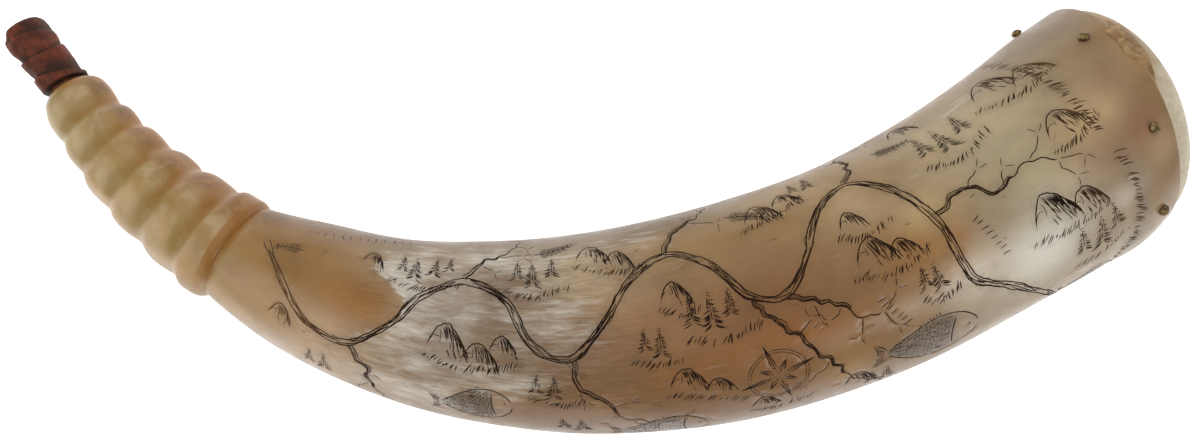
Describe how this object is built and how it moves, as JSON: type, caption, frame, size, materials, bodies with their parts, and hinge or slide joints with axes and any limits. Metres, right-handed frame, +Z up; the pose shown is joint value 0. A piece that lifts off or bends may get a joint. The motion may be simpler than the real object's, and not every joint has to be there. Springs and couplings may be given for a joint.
{
  "type": "scrimshaw powder horn",
  "caption": "Curved hollow cow-horn flask lying on its side, with a carved ringed neck, a domed wooden base plug held by brass pins, and a whittled wooden stopper.",
  "frame": {"origin": "under the middle of the whole horn in plan, on the surface that it lies on", "axes": "+Z up, out of the side that shows the engraving; +X along the horn's chord from the stopper to the base plug; +Y to the inside of its curve"},
  "size_m": [0.359, 0.129, 0.0722],
  "materials": {
    "horn": "polished natural horn, cream to amber, with dark inked engraving",
    "pale_wood": "pale close-grained wood, rubbed smooth",
    "brass": "aged, dull",
    "stained_wood": "red-brown, waxed, dark in the cuts"
  },
  "bodies": {
    "root": {"horn_body": "horn", "base_plug": "pale_wood", "pin_1": "brass", "pin_2": "brass", "pin_3": "brass", "pin_4": "brass", "pin_5": "brass", "pin_6": "brass", "pin_7": "brass", "stopper": "stained_wood"}
  },
  "joints": []
}
